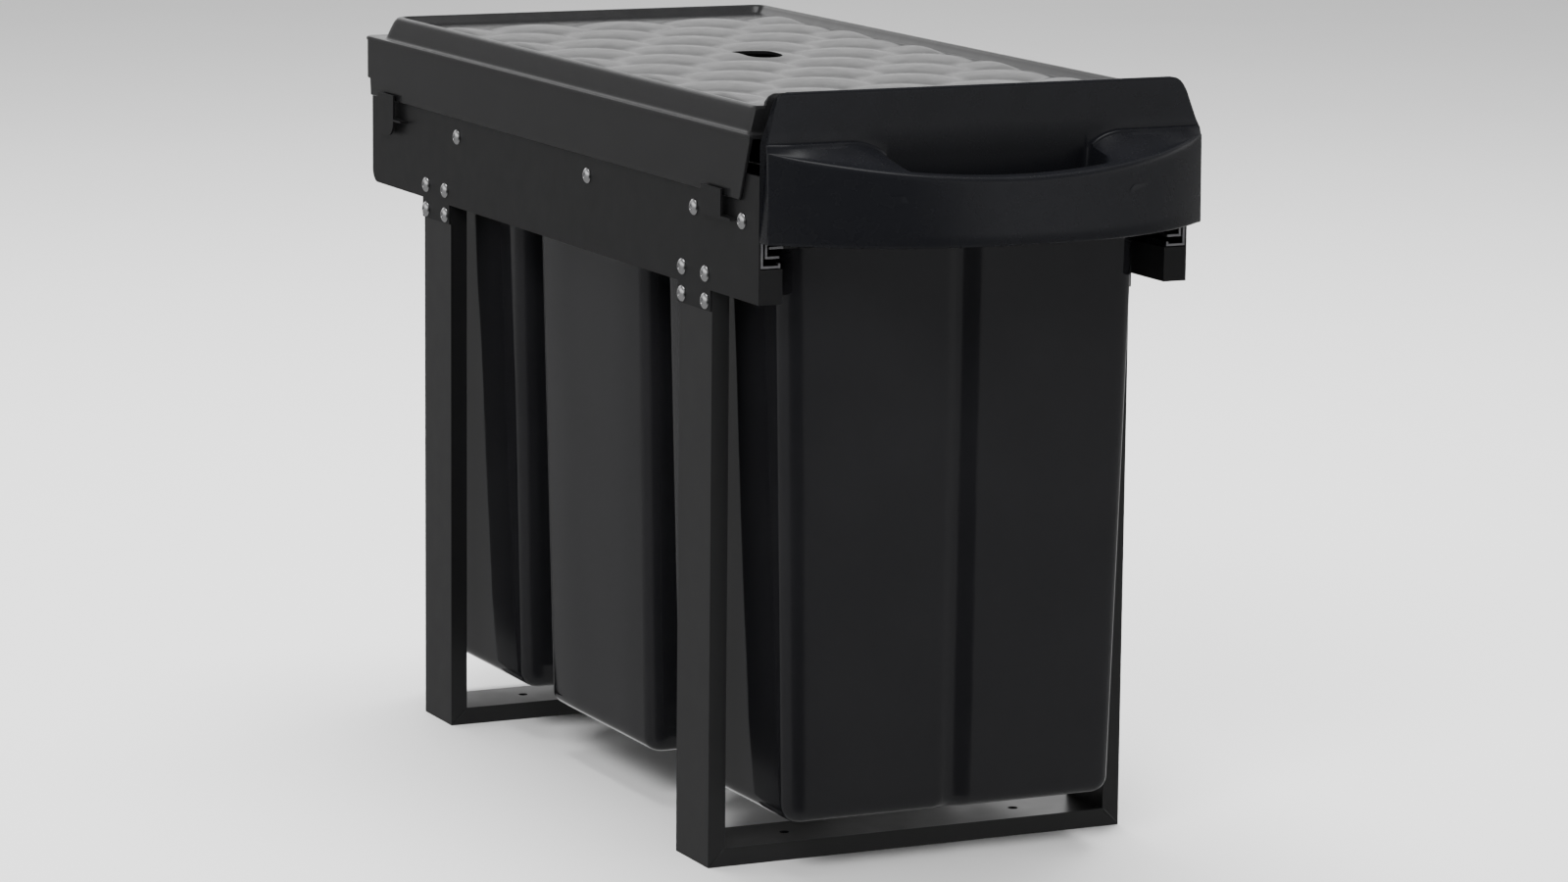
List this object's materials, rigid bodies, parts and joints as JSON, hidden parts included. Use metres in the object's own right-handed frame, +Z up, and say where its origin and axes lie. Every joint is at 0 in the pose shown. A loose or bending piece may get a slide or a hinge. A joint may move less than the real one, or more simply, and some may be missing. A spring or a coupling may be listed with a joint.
{
  "type": "pull-out cabinet waste bin",
  "caption": "Pull-out waste bin for a kitchen cabinet: tapered buckets hang in a carrier on ball slides between folded rails, with a bowed grip front and a lift-off lid.",
  "frame": {"origin": "centre of the four floor screw holes, on the cabinet floor", "axes": "+X across the cabinet, +Y towards the back of the cabinet along the slides, +Z up"},
  "size_m": [0.2616, 0.6191, 0.4235],
  "materials": {
    "powder_coat": "satin powder coat",
    "black_zinc": "black zinc plate",
    "bright_steel": "bright",
    "bucket_plastic": "high gloss",
    "lid_plastic": "semi gloss",
    "panel_plastic": "satin",
    "rubber": "matt"
  },
  "bodies": {
    "frame": {"front_leg_frame": "powder_coat", "rear_leg_frame": "powder_coat", "left_side_rail": "powder_coat", "right_side_rail": "powder_coat", "leg_rivets": "bright_steel", "slide_rivets": "bright_steel", "left_cabinet_member": "black_zinc", "right_cabinet_member": "black_zinc", "slide_bumpers": "rubber"},
    "carriage": {"left_drawer_member": "black_zinc", "right_drawer_member": "black_zinc", "drawer_screws": "black_zinc", "bucket_carrier": "powder_coat", "front_bracket": "powder_coat", "front_panel": "panel_plastic", "panel_screws": "black_zinc"},
    "left_middle_slide": {"left_middle_member": "black_zinc"},
    "right_middle_slide": {"right_middle_member": "black_zinc"},
    "left_outer_ball_set": {"left_outer_cage": "bright_steel", "left_outer_balls": "bright_steel"},
    "right_outer_ball_set": {"right_outer_cage": "bright_steel", "right_outer_balls": "bright_steel"},
    "left_inner_ball_set": {"left_inner_cage": "bright_steel", "left_inner_balls": "bright_steel"},
    "right_inner_ball_set": {"right_inner_cage": "bright_steel", "right_inner_balls": "bright_steel"},
    "front_bucket": {"front_bucket": "bucket_plastic"},
    "middle_bucket": {"middle_bucket": "bucket_plastic"},
    "rear_bucket": {"rear_bucket": "bucket_plastic"},
    "lid": {"lid": "lid_plastic"}
  },
  "joints": [
    {"name": "carriage_slide", "type": "slide", "parent": "frame", "child": "carriage", "axis": [0, -1, 0], "range_m": [0, 0.49]},
    {"name": "left_middle_slide", "type": "slide", "parent": "frame", "child": "left_middle_slide", "axis": [0, -1, 0], "range_m": [0, 0.245]},
    {"name": "left_outer_ball_slide", "type": "slide", "parent": "frame", "child": "left_outer_ball_set", "axis": [0, -1, 0], "range_m": [0, 0.1225]},
    {"name": "left_inner_ball_slide", "type": "slide", "parent": "frame", "child": "left_inner_ball_set", "axis": [0, -1, 0], "range_m": [0, 0.3675]},
    {"name": "right_middle_slide", "type": "slide", "parent": "frame", "child": "right_middle_slide", "axis": [0, -1, 0], "range_m": [0, 0.245]},
    {"name": "right_outer_ball_slide", "type": "slide", "parent": "frame", "child": "right_outer_ball_set", "axis": [0, -1, 0], "range_m": [0, 0.1225]},
    {"name": "right_inner_ball_slide", "type": "slide", "parent": "frame", "child": "right_inner_ball_set", "axis": [0, -1, 0], "range_m": [0, 0.3675]},
    {"name": "front_bucket_lift", "type": "slide", "parent": "carriage", "child": "front_bucket", "axis": [0, 0, 1], "range_m": [0, 0.016]},
    {"name": "middle_bucket_lift", "type": "slide", "parent": "carriage", "child": "middle_bucket", "axis": [0, 0, 1], "range_m": [0, 0.016]},
    {"name": "rear_bucket_lift", "type": "slide", "parent": "carriage", "child": "rear_bucket", "axis": [0, 0, 1], "range_m": [0, 0.016]},
    {"name": "lid_lift", "type": "slide", "parent": "frame", "child": "lid", "axis": [0, 0, 1], "range_m": [0, 0.08]}
  ],
  "couplings": [
    {"joint": "left_middle_slide", "follows": "carriage_slide", "ratio": 0.5},
    {"joint": "left_outer_ball_slide", "follows": "carriage_slide", "ratio": 0.25},
    {"joint": "left_inner_ball_slide", "follows": "carriage_slide", "ratio": 0.75},
    {"joint": "right_middle_slide", "follows": "carriage_slide", "ratio": 0.5},
    {"joint": "right_outer_ball_slide", "follows": "carriage_slide", "ratio": 0.25},
    {"joint": "right_inner_ball_slide", "follows": "carriage_slide", "ratio": 0.75}
  ]
}
